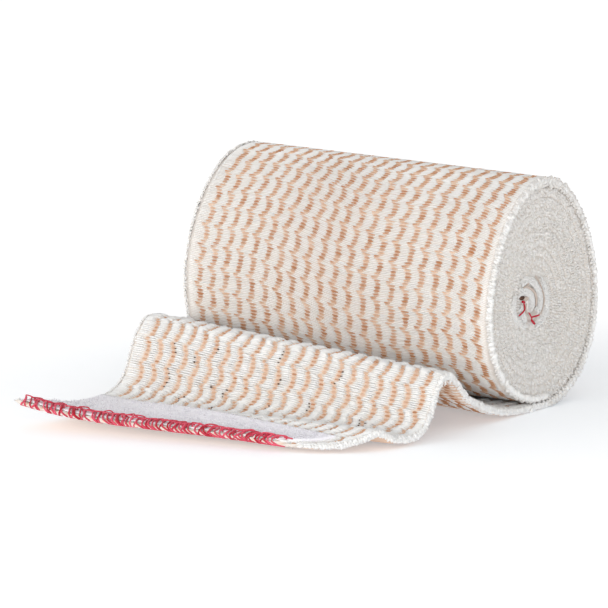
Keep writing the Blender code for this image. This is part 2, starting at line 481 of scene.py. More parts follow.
# %% The knit's rhythm
STRIPES = 21
FIRST_STRIPE, LAST_STRIPE = -34.0 * MM, 35.1 * MM
STRIPE_PITCH = (LAST_STRIPE - FIRST_STRIPE) / (STRIPES - 1)
BOW_WAVE = 41.0 * MM
STITCH_COLUMNS = ("shift", "length", "thick", "tone", "fade_right")
ROLL_STITCHES = (
    (-0.10, 2.20, 0.35, 0.42, 0.0),
    (0.16, 1.80, 0.38, 0.24, 0.0),
    (0.10, 1.75, 0.40, 0.12, 0.0),
    (0.00, 1.75, 0.39, 0.16, 0.0),
    (-0.22, 1.85, 0.37, 0.26, 0.1),
    (-0.82, 2.00, 0.37, 0.05, 0.7),
)
TAIL_STITCHES = (
    (0.05, 1.50, 0.44, 0.60, 0.0),
    (0.25, 1.50, 0.46, 0.52, 0.0),
    (0.38, 1.50, 0.46, 0.50, 0.0),
    (0.25, 1.45, 0.46, 0.52, 0.0),
    (-0.05, 1.45, 0.44, 0.58, 0.0),
    (-0.62, 1.30, 0.44, 0.55, 0.2),
)
ROLL_RHYTHM = dict(table=ROLL_STITCHES, pitch=0.735 * MM, lag=-0.08, skew=0.13, bow=0.85 * MM)
TAIL_RHYTHM = dict(table=TAIL_STITCHES, pitch=0.91 * MM, lag=0.65, skew=0.0, bow=0.3 * MM)

# No two stripes keep the same time. These say how far they stray from the table.
WANDER = 0.35
SLOW_TURN, SLOW_ROWS = 0.8, 23.0
SIDE_DRIFT, SIDE_ROWS = 0.22 * MM, 17.0
PLACE_SPREAD, TONE_SPREAD, SIZE_SPREAD = 0.07 * MM, 0.15, (0.82, 1.15)


class Knit:
    """The peach dashes of one stretch of band, as tables of rows by stripes."""

    def __init__(self, cloth, slot, first, last, seed, table, pitch, lag, skew, bow):
        draw = np.random.default_rng(seed)
        self.cloth, self.slot, self.pitch = cloth, slot, pitch
        self.skew, self.bow = skew, bow
        rows = int((last - first) / pitch)
        row, stripe = np.meshgrid(np.arange(rows), np.arange(STRIPES), indexing="ij")
        wander = np.cumsum(draw.normal(0, WANDER, STRIPES))[stripe]
        slow = SLOW_TURN * np.sin(row / SLOW_ROWS + stripe * 0.7)
        turn = np.floor(row + stripe * lag + wander + slow).astype(int) % len(table)
        stitch = dict(zip(STITCH_COLUMNS, np.array(table)[turn].transpose(2, 0, 1)))
        drift = SIDE_DRIFT * np.sin(row / SIDE_ROWS + stripe * 0.35)
        place = FIRST_STRIPE + stripe * STRIPE_PITCH + stitch["shift"] * MM + drift
        self.along = first + (row + 0.5) * pitch
        self.place = place + draw.normal(0, PLACE_SPREAD, place.shape)
        self.length = stitch["length"] * MM * draw.uniform(*SIZE_SPREAD, place.shape)
        self.thick = stitch["thick"] * MM * draw.uniform(*SIZE_SPREAD, place.shape)
        self.tone = stitch["tone"] + draw.normal(0, TONE_SPREAD, place.shape)
        self.fade = stitch["fade_right"]

    def slip(self, across):
        """How far a row has run ahead at this place: no knit is dead square."""
        return self.skew * across + self.bow * np.sin(2 * np.pi * across / BOW_WAVE + 0.9)

    def stripe_share(self, along, across):
        """How near each point is to a dash of its row: 1 on the dash, 0 midway between two."""
        row = np.clip(((along - self.along[0, 0]) / self.pitch).round(), 0, len(self.place) - 1)
        away = np.abs(across[None, :, None] - self.place[row.astype(int)][:, None, :]).min(axis=-1)
        return np.clip(1 - 2 * away / STRIPE_PITCH, 0, 1)


TAIL_SHOWN = 84.0 * MM
HEM_BARE = 1.5 * MM
roll_knit = Knit(outer, "band_roll", 0.0, outer.length, 3, **ROLL_RHYTHM)
tail_knit = Knit(upper, "band_tail", HEM_BARE, TAIL_SHOWN, 5, **TAIL_RHYTHM)
print("rows of dashes:", len(roll_knit.place), "and", len(tail_knit.place))

# %% [markdown]
# ## Peach dashes
#
# A dash is a short spindle, fullest in its middle and tucked under the white yarns at
# its ends, where its colour fades into theirs.

# %% Lay the dashes
SPINDLE = np.array([0.0, 0.3, 0.7, 1.0])
SPINDLE_SIZE = np.array([0.5, 1.0, 1.0, 0.5])
SPINDLE_CROWN = np.array([0.0, 1.0, 1.0, 0.0])
END_FADE = np.array([0.4, 0.0, 0.0, 0.4])


def spindles(name, knit, along, start, end, thick, lifts, material, shades, sides=3):
    """Threads that lie across the cloth from start to end; lifts is for their ends and middle."""
    across = mixed(start[:, None], end[:, None], SPINDLE)
    lift = mixed(*lifts, SPINDLE_CROWN)
    paths = knit.cloth.at(along[:, None] + knit.slip(across), across, lift)
    radii = thick[:, None] / 2 * SPINDLE_SIZE
    ups = knit.cloth.normal(along, (start + end) / 2)
    piece = tubes(name, paths, radii, ups, material, sides, 0.85, shades)
    return piece


def dashes(name, knit, lifts, sides, offset=0.0, size=(1.0, 1.0), pale=0.0):
    """All dashes of a knit; offset is in rows, and size scales their length and thickness."""
    along, place = knit.along.ravel() + offset * knit.pitch, knit.place.ravel()
    length, thick = knit.length.ravel() * size[0], knit.thick.ravel() * size[1]
    shades = knit.tone.ravel()[:, None] + END_FADE + knit.fade.ravel()[:, None] * SPINDLE
    start, end = place - length / 2, place + length / 2
    return spindles(name, knit, along, start, end, thick, lifts, peach, shades + pale, sides)


RIB_DEPTH = 0.42 * MM
VALLEY_LIFTS = (-RIB_DEPTH - 0.05 * MM, -RIB_DEPTH + 0.12 * MM)
dashes("roll_peach_dashes", roll_knit, (0.02 * MM, 0.13 * MM), 4, size=(0.92, 0.95))
dashes("roll_pale_dashes", roll_knit, (0.0, 0.06 * MM), 3, offset=0.5, size=(1.1, 0.9), pale=0.45)
dashes("tail_peach_dashes", tail_knit, VALLEY_LIFTS, 4, size=(0.9, 0.8), pale=-0.15)

# %% [markdown]
# ## White floats
#
# The cotton crosses from stripe to stripe. A float in a dash's own row spans only
# between two dashes. In between the rows another one passes over the stripes, which
# is why each dash stands alone. On the free end the floats rise into soft ribs.

# %% Lay the floats
SHORTEST_FLOAT = 0.5 * MM
ROW_STRAY, END_STRAY = 0.03 * MM, 0.12 * MM


def floats(name, knit, cover, offsets, thick, lifts, seed, material):
    """White yarns between neighbouring dashes, over the given share of each half dash."""
    draw = np.random.default_rng(seed)
    edge = np.full((len(knit.place), 1), BAND_WIDTH / 2 - 0.2 * MM)
    half = knit.length / 2 * (1 - cover)
    start = np.hstack([-edge, knit.place + half])
    end = np.hstack([knit.place - half, edge])
    along = np.repeat(knit.along[:, :1], STRIPES + 1, axis=1)
    along = np.concatenate([(along + offset * knit.pitch).ravel() for offset in offsets])
    start, end = np.tile(start.ravel(), len(offsets)), np.tile(end.ravel(), len(offsets))
    along = along + draw.normal(0, ROW_STRAY, along.shape)
    start = start + draw.normal(0, END_STRAY, start.shape)
    end = end + draw.normal(0, END_STRAY, end.shape)
    kept = (end - start) > SHORTEST_FLOAT
    along, start, end = along[kept], start[kept], end[kept]
    size = thick * draw.uniform(0.85, 1.15, along.shape)
    tones = draw.normal(0.7, 0.18, along.shape)
    return spindles(name, knit, along, start, end, size, lifts, material, tones)


floats(
    "roll_short_floats", roll_knit, cover=0.3, offsets=(0.0,), thick=0.32 * MM,
    lifts=(0.04 * MM, 0.13 * MM), seed=41, material=cotton_with_painted_warm_light,
)
floats(
    "roll_long_floats", roll_knit, cover=0.8, offsets=(0.5,), thick=0.31 * MM,
    lifts=(0.05 * MM, 0.14 * MM), seed=42, material=cotton_with_painted_warm_light,
)
floats(
    "tail_floats", tail_knit, cover=0.25, offsets=(-0.25, 0.25), thick=0.62 * MM,
    lifts=(-RIB_DEPTH, -0.06 * MM), seed=43, material=cotton,
)

# %% [markdown]
# The underside of the free end shows inside the hump. It has the same stripes, seen
# from behind and in the shade, so coarser threads are enough there. Its dashes are
# painted darker than those on top: painted shade for the inside of the hump.

# %% The underside's yarns
UNDER_SHOWN = (26.0 * MM, 68.0 * MM)
under_knit = Knit(under, "band_tail", *UNDER_SHOWN, 5, **TAIL_RHYTHM)
# These dashes are painted darker than the ones on top, as painted shade for the inside of the hump.
dashes("under_peach_dashes", under_knit, (-0.12 * MM, 0.02 * MM), 3, size=(1.3, 1.0), pale=-0.6)
floats(
    "under_floats", under_knit, cover=-0.1, offsets=(0.0,), thick=0.50 * MM,
    lifts=(-0.12 * MM, -0.04 * MM), seed=44, material=cotton_with_painted_warm_light,
)

# %% [markdown]
# ## The ground of the knit
#
# Behind the yarns lies the rest of the fabric. It is a closed wall as thick as the
# band: a spiral for the roll, and a wavy sheet with ribs for the free end. It is cream
# in the ribs and a faded flesh tone in the valleys, and the sheet takes both from the
# same table as the dashes, so that the ground follows the scallops too. Its cream is
# darker than the yarns: painted shade for the gaps between the white floats.

# %% The ground's material
# The cream is darker than the cotton yarns: it is painted shade for the gaps between the floats.
SHADED_GROUND_CREAM, GROUND_PEACH = colour(222, 214, 206), colour(222, 190, 165)
GRAIN_SCALE = 900.0


def ground_material():
    paint = Paint(
        "knit_ground", Roughness=0.95, Sheen_Weight=0.2, Sheen_Roughness=0.6, Specular_IOR_Level=0.1
    )
    share = paint.stored("stripe") * 1.9 - 0.7 + (paint.noise(GRAIN_SCALE) - 0.5) * 0.5
    paint.feed("Base Color", paint.mix(share, SHADED_GROUND_CREAM, GROUND_PEACH))
    paint.bump(paint.noise(FIBRE_SCALE), 0.05 * MM)
    return paint.material


ground = ground_material()
print("the ground's material:", ground.name)

# %% [markdown]
# The winding's ground is one long wall. A stack of rings would look much the same, but
# the real roll is one band, so the wall follows the spiral from the seam to the core.
# It is five points wide, and swells at both faces, where the turns press against each
# other. The outermost edge is rounded off instead.

# %% The winding
STEPS_PER_TURN = 72
FACE_INSET = 0.45 * MM
EDGE_SWELL = 3.0 * MM
RIM_TURNS = 0.9
WINDING_TINT = (0.35, 0.3, 0.5, 0.3, 0.35)
steps = np.linspace(0, TURNS, int(TURNS * STEPS_PER_TURN))
ends = np.array([
    FACE_INSET, EDGE_SWELL, BAND_WIDTH / 2, BAND_WIDTH - EDGE_SWELL, BAND_WIDTH - FACE_INSET
]) / BAND_WIDTH
inside = np.clip(steps[:, None] / RIM_TURNS, 0, 1)
swell = inside * np.array([1.0, 0.2, 0.0, 0.2, 1.0])
rounded = (1 - inside) * np.array([1.0, 0.0, 0.0, 0.0, 1.0])
outward = swell * YARN_DEPTH - rounded * EDGE_DROP - YARN_DEPTH
wound_outer = roll_point(ends, steps[:, None], outward)
wound_inner = roll_point(ends, steps[:, None] + 1, TURN_GAP * (1 - swell))
winding = wall_piece("roll_winding", wound_outer, wound_inner, ground)
store(winding, "stripe", np.tile(WINDING_TINT, 2 * len(steps)))
wound_lengths = running_length((wound_outer[:, 2] + wound_inner[:, 2]) / 2)
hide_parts("band_roll")

# %% [markdown]
# The free end's ground is a second wall, between the two sides sampled above. Its
# upper side sinks along the stripes, and the ribs between them carry the white floats.

# %% The free end
SHEET_COLUMNS, SHEET_ROWS = 148, 120
RIB_SHARPNESS = 1.3
BEHIND_TINT, TINT_REACH = 0.4, 12 * MM
sheet_across = np.linspace(-0.5, 0.5, SHEET_COLUMNS) * BAND_WIDTH
sheet_along = np.linspace(0, upper.length, SHEET_ROWS)
valley = tail_knit.stripe_share(sheet_along, sheet_across)
sink = -RIB_DEPTH * (0.15 + 0.85 * valley**RIB_SHARPNESS)
top_side = upper.at(sheet_along[:, None], sheet_across, sink - 0.08 * MM)
low_side = under.at(sheet_along[:, None], sheet_across, 0.0)
low_side[..., 2] = np.maximum(low_side[..., 2], 0.0)
free_end = wall_piece("tail_ground", top_side[::-1], low_side[::-1], ground)
# Under the sheet the ground turns from cream at the hem to peach all over: partly the peach yarn,
# partly painted shade for the inside of the hump.
behind = np.clip(BEHIND_TINT + sheet_along[:, None] / TINT_REACH, 0, 1) + 0 * valley
store(free_end, "stripe", np.concatenate([valley[::-1].ravel(), behind[::-1].ravel()]))
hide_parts("band_tail")

# %% [markdown]
# ## Open stitches
#
# Where the free end bends over the slope, the knit is stretched, and small holes open
# beside the dashes. What shows is the shade below, so each is a near-black fleck.

# %% The flecks of shade
HOLE_GROUPS = 20
HOLE_BAND = (17.0 * MM, 42.0 * MM)


def shade_material(name, deep, pale, grain, depth):
    paint = Paint(name, Roughness=1.0)
    paint.feed("Base Color", paint.mix(paint.noise(grain), colour(*deep), colour(*pale)))
    paint.bump(paint.noise(FIBRE_SCALE), depth)
    return paint.material


SHADE_TONES = ((58, 42, 34), (122, 98, 82))
shade = shade_material("shade_in_the_knit", *SHADE_TONES, GRAIN_SCALE, 0.03 * MM)
draw = np.random.default_rng(51)
rows_in = np.searchsorted(tail_knit.along[:, 0], HOLE_BAND)
flecks = []
for _ in range(HOLE_GROUPS):
    top, stripe = draw.integers(*rows_in), draw.integers(2, STRIPES - 3)
    deep = draw.integers(1, 6)
    side = draw.choice([-1, 1], p=[0.3, 0.7])
    flecks += [(row, stripe, side) for row in range(top, top + deep)]
*picked, hole_side = np.array(flecks).T
picked, holes = tuple(picked), len(flecks)
hole_place = tail_knit.place[picked] + hole_side * tail_knit.length[picked] * 0.5
hole_along = tail_knit.along[picked] + draw.normal(0, 0.08 * MM, holes)
hole_half = draw.uniform(0.12, 0.30, holes) * MM
spindles(
    "open_stitches", tail_knit, hole_along, hole_place - hole_half, hole_place + hole_half,
    draw.uniform(0.26, 0.46, holes) * MM, (-0.14 * MM, -0.02 * MM), shade, np.zeros(holes),
)
print("open stitches:", holes)

# %% [markdown]
# ## Selvedges and the roll's faces
#
# Along both edges the cotton turns back in small loops. Wound up, thousands of them
# make the soft, grainy face of the roll. Each loop is a short plump tube set across
# the edge of the band, a little out of line with its neighbours. The outermost turn
# stands out as a bright scalloped rim, and the turns inside lie a little deeper.

# %% Loops along the edges
# The faces' cotton is darker than the other cotton: painted shade, because the roll's faces get
# less light than its front.
EDGE_LIGHT, EDGE_DARK = colour(237, 234, 231), colour(216, 211, 205)
face_cotton_with_painted_shade = yarn_material("selvedge_cotton_with_painted_shade", EDGE_DARK, EDGE_LIGHT, 0.15, 0.05 * MM)
LOOP_SHARES = np.linspace(-0.5, 0.5, 4)
LOOP_SIZES = np.array([0.6, 1.0, 1.0, 0.6])
LOOP_ARCH = np.array([-0.35, 0.1, 0.1, -0.35])


def loops(
    name, middles, directions, outs, size, seed, sides=3, stray=0.5, yarn=face_cotton_with_painted_shade, tone=0.6
):
    """Short plump tubes at the given middles; size is their length and thickness."""
    draw = np.random.default_rng(seed)
    count = len(middles)
    length, thick = size
    wild = draw.normal(0, stray, (count, 3))
    turned = unit(directions + wild - 0.75 * outs * (wild * outs).sum(axis=1, keepdims=True))
    lengths = length * draw.uniform(0.7, 1.3, count)
    paths = middles[:, None] + turned[:, None] * (lengths[:, None] * LOOP_SHARES)[..., None]
    paths = paths + outs[:, None] * LOOP_ARCH[:, None] * thick
    radii = thick / 2 * LOOP_SIZES * draw.uniform(0.8, 1.2, (count, 1))
    tones = draw.normal(tone, 0.22, count)
    piece = tubes(name, paths, radii, outs, yarn, sides, 0.9, tones)
    return piece


LOOP_PITCH = 0.60 * MM
FACE_LOOP = (0.86 * MM, 0.76 * MM)
FACE_RECESS, RECESS_TURNS = 0.50 * MM, 1.2
FACE_WAVE = 0.12 * MM


def face_loops(name, across, seed, levels, bare=0.0):
    """The loops of every turn at one end of the roll; the innermost bare turns get none."""
    draw = np.random.default_rng(seed)
    end = np.interp(TURNS - bare, steps, wound_lengths)
    total = int(end / LOOP_PITCH)
    turns = np.interp(np.linspace(0, end, total), wound_lengths, steps)
    out = np.array([1.0 if across else -1.0, 0.0, 0.0])
    middles, directions = [], []
    for depth, height in levels:
        turn = turns + draw.normal(0, 0.0015, total)
        share = depth + draw.normal(0, 0.07, total)
        high, low = roll_point(across, turn), roll_point(across, turn + 1)
        uneven = FACE_WAVE * np.sin(turn * 2.3 + 1.0) * np.sin(turn * 9.1)
        recess = FACE_RECESS * np.clip(turn / RECESS_TURNS, 0, 1) + uneven
        level = height - recess + draw.normal(0, 0.04 * MM, total)
        middles.append(mixed(high, low, share[:, None]) + out * level[:, None])
        directions.append(unit(high - low))
    middles, directions = np.concatenate(middles), np.concatenate(directions)
    outs = np.tile(out, (len(middles), 1))
    return loops(name, middles, directions, outs, FACE_LOOP, seed)


# Each level is a place in the band's thickness, from 0 to 1, and a height over the face.
RIGHT_LEVELS = ((0.19, -0.02 * MM), (0.47, 0.08 * MM), (0.76, -0.02 * MM))
LEFT_LEVELS = ((0.25, 0.0), (0.72, 0.0))
face_loops("roll_face_loops_right", 1.0, 11, RIGHT_LEVELS, bare=0.9)
face_loops("roll_face_loops_left", 0.0, 12, LEFT_LEVELS)

# %% [markdown]
# The rims are the two edges of the outermost turn. They draw the roll's outline, so
# their loops are plumper and neater than those of the faces.

# %% The roll's rims
RIM_LOOP = (1.15 * MM, 0.95 * MM)


def rim_loops(name, side, seed, proud):
    """The plump loops where the outer turn rolls over into its edge."""
    draw = np.random.default_rng(seed)
    along = np.arange(0, outer.length, LOOP_PITCH)
    place = side * (BAND_WIDTH / 2 - draw.uniform(0.0, 0.35, along.shape) * MM)
    out = unit(outer.at(along, place) - outer.at(along, place * 0.9))
    middles = outer.at(along, place, -0.08 * MM) + out * proud
    under_rim = roll_point((1 + side) / 2, along / outer.length, -3 * MM)
    directions = unit(under_rim - middles)
    return loops(name, middles, directions, out, RIM_LOOP, seed, 5, 0.16, cotton)


rim_loops("roll_rim_right", 1, 15, 0.0)
rim_loops("roll_rim_left", -1, 16, 0.45 * MM)

# %% [markdown]
# The free end shows its edges over their whole thickness, so there the loops lie in
# three rows, one above the other.

# %% The free end's edges
EDGE_START, EDGE_PITCH = 1.2 * MM, 0.55 * MM
EDGE_LEVELS = (0.1, 0.45, 0.8)
EDGE_LOOP = (1.0 * MM, 0.72 * MM)


def edge_loops(name, side, seed):
    """The loops along one edge of the free end."""
    draw = np.random.default_rng(seed)
    along = np.arange(EDGE_START, upper.length, EDGE_PITCH)
    edge = side * BAND_WIDTH / 2
    high, low = upper.at(along, edge), under.at(along, edge)
    out = unit(high - upper.at(along, edge * 0.9))
    middles = np.concatenate([mixed(high, low, share) for share in EDGE_LEVELS])
    directions = np.concatenate([unit(high - low)] * len(EDGE_LEVELS))
    outs = np.concatenate([out] * len(EDGE_LEVELS))
    middles = middles + outs * draw.normal(-0.1 * MM, 0.08 * MM, (len(middles), 1))
    middles[:, 2] = np.maximum(middles[:, 2], EDGE_LOOP[1] / 2)
    return loops(name, middles, directions, outs, EDGE_LOOP, seed, 4, 0.35, cotton)


edge_loops("tail_edge_loops_right", 1, 13)
edge_loops("tail_edge_loops_left", -1, 14)

# %% [markdown]
# ## The core
#
# At the core the band's inner end is folded flat. It leaves pale rounded folds, a
# small dark mouth above and to the left of them, and a few red thread ends from the
# hem that starts the roll. None of them follows the spiral, so each is a ridge or cord
# of its own. Their places are measured on the right face, as depth and height in
# millimetres.

# %% Cords and folds on a face
FACE_X, OFF_FACE = BAND_WIDTH / 2, np.array([1.0, 0.0, 0.0])
FOLD_LIFT = -0.35 * MM
FOLD_LOOP = (0.8 * MM, 0.34 * MM)


def face_path(places, lift, count):
    """A smooth line through places on the right face, given as (y, z) in millimetres."""
    knots = np.array(places) * MM
    where = np.linspace(0, len(knots) - 1, count)
    y, z = eased(knots[:, 0], where), eased(knots[:, 1], where)
    return np.stack([np.full(count, FACE_X + lift), y, z], axis=-1)


def face_cord(name, places, lift, thick, material, tone, count=24, taper=0.6):
    """One cord along such a line, thinner at its ends and a little flattened."""
    path = face_path(places, lift, count)
    swell = taper + (1 - taper) * np.sin(np.linspace(0, np.pi, count)) ** 0.5
    radii = thick / 2 * swell[None]
    piece = tubes(name, path[None], radii, OFF_FACE[None], material, 10, 0.7, np.array([tone]))
    return piece


def face_fold(name, places, thick, count, seed):
    """A folded edge of the band: a rounded ridge of cotton with a light fuzz of loops."""
    draw = np.random.default_rng(seed)
    face_cord(name, places, FOLD_LIFT, thick, cotton, 0.30)
    line = face_path(places, FOLD_LIFT, 200)
    index = draw.integers(1, 199, count)
    ahead = unit(line[index] - line[index - 1])
    beside = np.cross(ahead, OFF_FACE)
    angle = draw.uniform(-1.15, 1.15, count)
    out = 0.7 * np.cos(angle)[:, None] * OFF_FACE + np.sin(angle)[:, None] * beside
    middles = line[index] + out * thick / 2
    loops(
        name + "_loops", middles, ahead, unit(out), FOLD_LOOP, seed, 3, 0.4, cotton, 0.35
    )


# %% Lay the folds
FOLDS = (
    ("core_fold_outer", 1.6, 220, 61, (
        (-1.7, 27.7), (-0.1, 26.3), (0.7, 24.7), (1.1, 23.2), (1.0, 21.7), (0.4, 20.3),
        (-1.0, 19.2), (-3.5, 18.4),
    )),
    ("core_fold_middle", 1.7, 260, 64, (
        (-9.6, 27.7), (-7.5, 28.4), (-5.0, 27.7), (-3.5, 26.6), (-2.3, 25.2), (-1.7, 23.7),
        (-2.0, 22.2), (-3.2, 21.3),
    )),
    ("core_fold_inner", 1.7, 200, 62, (
        (-10.6, 26.0), (-8.7, 26.0), (-6.6, 25.4), (-5.3, 24.4), (-5.1, 23.1), (-5.9, 22.2),
    )),
    ("core_fold_left", 1.3, 150, 63, (
        (-12.2, 25.5), (-12.5, 24.1), (-12.7, 22.6), (-12.1, 21.1), (-10.2, 19.5), (-8.1, 18.5),
    )),
    ("core_fold_heart", 1.6, 90, 65, ((-10.0, 22.6), (-8.9, 21.2), (-8.2, 19.9))),
)
for name, thick, count, seed, places in FOLDS:
    face_fold(name, places, thick * MM, count, seed)
BACK_LIFT, BACK_THICK = -2.60 * MM, 6.4 * MM
BACK_PLACES = ((-9.0, 22.6), (-6.0, 22.8), (-3.0, 22.4))
face_cord("core_fold_back", BACK_PLACES, BACK_LIFT, BACK_THICK, cotton, 0.6)

# The left face's core is open, with two small folds; their lift counts from the right face.
FAR_FOLD_LIFT = -BAND_WIDTH + 1.0 * MM
FAR_FOLDS = (
    ("core_fold_far", 1.5, ((-6.0, 26.5), (-4.6, 26.8), (-3.5, 25.9), (-3.2, 24.5), (-3.6, 23.2))),
    ("core_fold_far_inner", 1.4, ((-6.0, 25.0), (-5.2, 25.0), (-4.8, 24.1), (-4.6, 23.0))),
)
for name, thick, places in FAR_FOLDS:
    face_cord(name, places, FAR_FOLD_LIFT, thick * MM, face_cotton_with_painted_shade, 0.45)
print("folds around the core:", len(FOLDS), "on the right face,", len(FAR_FOLDS), "on the left")

# %% [markdown]
# The folds meet in thin warm lines of painted shade, the shade between two layers.
# Each is one fine cord that lies in the valley, so that it stays in place from any
# side. The mouth is the same, only darker and shorter: the painted shade inside it.

# %% Warm lines and mouth
# The lines' colour is painted shade, the pale shade between two folds.
SHADE_LINE_TONES = ((176, 155, 142), (212, 199, 190))
# The mouth's colour is painted shade, the deep shade inside the hole.
MOUTH_SHADE_TONES = ((52, 24, 16), (110, 80, 62))
CORE_GRAIN, CORE_BUMP = 700.0, 0.05 * MM
core_shade_line = shade_material("core_shade_line", *SHADE_LINE_TONES, CORE_GRAIN, CORE_BUMP)
mouth_shade = shade_material("core_shade", *MOUTH_SHADE_TONES, CORE_GRAIN, CORE_BUMP)
CORE_LINES = (
    ("core_line_inner", 0.72, (
        (-9.1, 26.7), (-7.9, 26.9), (-6.2, 26.4), (-4.6, 25.6), (-3.9, 24.8), (-3.5, 23.6),
        (-3.8, 22.4),
    )),
    ("core_line_outer", 0.42, (
        (-4.0, 28.8), (-2.1, 27.0), (-1.4, 25.9), (-0.6, 24.6), (-0.2, 23.3), (-0.5, 22.1),
        (-1.6, 20.4),
    )),
    ("core_line_spur", 0.50, ((-7.9, 26.9), (-7.1, 27.4), (-6.7, 28.0))),
    ("core_line_low", 0.45, ((-7.6, 23.4), (-8.0, 21.9), (-7.0, 21.1))),
    ("core_mouth_side", 0.95, ((-9.3, 24.7), (-8.2, 24.5), (-7.0, 24.4))),
)
for name, thick, places in CORE_LINES:
    face_cord(name, places, 0.0, thick * MM, core_shade_line, 0.0, taper=0.4)
MOUTH_PLACES = ((-10.4, 24.9), (-9.6, 24.8), (-8.7, 24.7))
face_cord("core_mouth", MOUTH_PLACES, 0.0, 0.95 * MM, mouth_shade, 0.0, count=12, taper=0.45)

# %% [markdown]
# ## The hook patch
#
# The closure is a piece of hook tape, pale lavender against the warm cotton. It is a
# thin, stiff sheet with thousands of fine hooks that show only as a speckle. Its back
# edge was cut slantwise, so the patch narrows to the right.

# %% The patch's tape and hooks
PATCH_LENGTH = (27.0 * MM, 6.0 * MM)
PATCH_MARGIN = (1.0 * MM, 4.0 * MM)
PATCH_MARGIN_HEM = 1.3 * MM
PATCH_LIFT = (-0.1 * MM, 0.45 * MM)
PATCH_PRESSED = 0.12 * MM
TAPE_LIGHT, TAPE_DARK = colour(250, 249, 252), colour(235, 232, 240)


def row_before_hem(depths, length):
    return float(np.interp(-(depths[-1] + length), -depths, np.arange(len(depths))))


patch_first = [row_before_hem(side[0], size) for side, size in zip((LEFT, RIGHT), PATCH_LENGTH)]
patch_last = [row_before_hem(side[0], PATCH_MARGIN_HEM) for side in (LEFT, RIGHT)]


def patch_point(u, v, lift):
    """A point of the patch: u is 0 to 1 across it, v is 0 at its back and 1 at the hem."""
    share = mixed(PATCH_MARGIN[0] / BAND_WIDTH, 1 - PATCH_MARGIN[1] / BAND_WIDTH, u)
    row = mixed(mixed(*patch_first, share), mixed(*patch_last, share), v)
    along = np.interp(-row, -grid_places, upper.lengths)
    return upper.at(along, (share - 0.5) * BAND_WIDTH, lift)


def tape_material():
    paint = Paint("hook_tape", Sheen_Weight=0.15)
    speckle = paint.noise(1500.0, 3.0)
    share = speckle * 1.6 - 0.3 + (paint.noise(220.0) - 0.5) * 0.3
    paint.feed("Base Color", paint.mix(share, TAPE_DARK, TAPE_LIGHT))
    paint.feed("Roughness", 0.6 + speckle * 0.3)
    paint.bump(speckle, 0.08 * MM)
    return paint.material


tape = tape_material()
u, v = np.meshgrid(np.linspace(0, 1, 70), np.linspace(0, 1, 26))
pressed = mixed(PATCH_LIFT[1], PATCH_PRESSED, np.clip(v * 6 - 5, 0, 1))
tape_top, tape_low = patch_point(u, v, pressed), patch_point(u, v, PATCH_LIFT[0])
patch = wall_piece("hook_tape", tape_top[::-1], tape_low[::-1], tape)
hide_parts("hook_patch")

# %% [markdown]
# The hooks are short bristles that lean every way. Each is a thin three-sided spike
# from inside the tape to just above it, and they stop short of the overlocked hem.

# %% The hooks
HOOKS = 2600
HOOK_FOOT, HOOK_TIP, HOOK_LEAN = -0.1 * MM, 0.16 * MM, 0.12 * MM
HOOK_RADII, HOOK_UP = np.array([[0.12, 0.10]]) * MM, np.array([[0.3, 0.9, 0.1]])
draw = np.random.default_rng(21)
hook_u, hook_v = draw.uniform(0.01, 0.99, HOOKS), draw.uniform(0.02, 0.84, HOOKS)
foot = patch_point(hook_u, hook_v, PATCH_LIFT[1] + HOOK_FOOT)
tip = patch_point(hook_u, hook_v, PATCH_LIFT[1] + HOOK_TIP)
lean = draw.normal(0, HOOK_LEAN, (HOOKS, 3))
hook_paths = np.stack([foot, tip + lean], axis=1)
hooks = tubes("hook_tape_hooks", hook_paths, HOOK_RADII, HOOK_UP, tape, 3)

# %% [markdown]
# ## The red overlock
#
# The hem is overlocked in red. Its legs wrap slantwise over the raw edge, and above
# them three threads cross each other in small open links. A painted stripe would lack
# their ragged outline. All are laid on the cloth's own grid, so they follow every bend
# of the hem, and they stop short of the right corner.

# %% The overlock's legs
RED_DEEP, RED_PALE = colour(176, 26, 46), colour(226, 96, 118)
red = yarn_material("red_polyester", RED_DEEP, RED_PALE, 0.1, 0.05 * MM)
LEG_PITCH, LEG_STRAY = 1.15 * MM, 0.42 * MM
LEG_THICK = 0.42 * MM
LEG_REACH = 3.0 * MM
LEG_BULGE = 0.16 * MM
LEG_FIRST, LEG_LAST = -BAND_WIDTH / 2 + 3.0 * MM, 33.0 * MM
LEG_TOP = ((1.0, -0.95, 0.35), (0.75, -0.7, 0.42), (0.45, -0.4, 0.32), (0.15, -0.1, 0.2))
LEG_EDGE = ((0.25, 0.25), (0.6, 0.6), (0.95, 1.0))
draw = np.random.default_rng(31)
leg_place = np.arange(LEG_FIRST, LEG_LAST, LEG_PITCH)
leg_place = leg_place + draw.normal(0, LEG_STRAY, leg_place.shape)
leg_count = len(leg_place)


def leg_paths(slope):
    """Each leg runs from the links to the edge and slants down over it."""
    reach = LEG_REACH * draw.uniform(0.85, 1.25, leg_count)
    slant = slope * draw.uniform(0.2, 1.5, leg_count)
    peak = draw.uniform(0.4, 1.8, leg_count) * MM
    rows = []
    for far, over, lift in LEG_TOP:
        rows.append(upper.at(reach * far, leg_place + reach * over, lift * peak))
    for drop, over in LEG_EDGE:
        place = leg_place + slant * over
        high, low = upper.at(0 * reach, place), under.at(0 * reach, place)
        out = unit(high - upper.at(0 * reach + LEG_REACH, place))
        rows.append(mixed(high, low, drop) + out * LEG_BULGE * math.sin(math.pi * drop))
    rows.append(under.at(reach * 0.3, leg_place + slant * 1.1, 0.0))
    return np.stack(rows, axis=1)


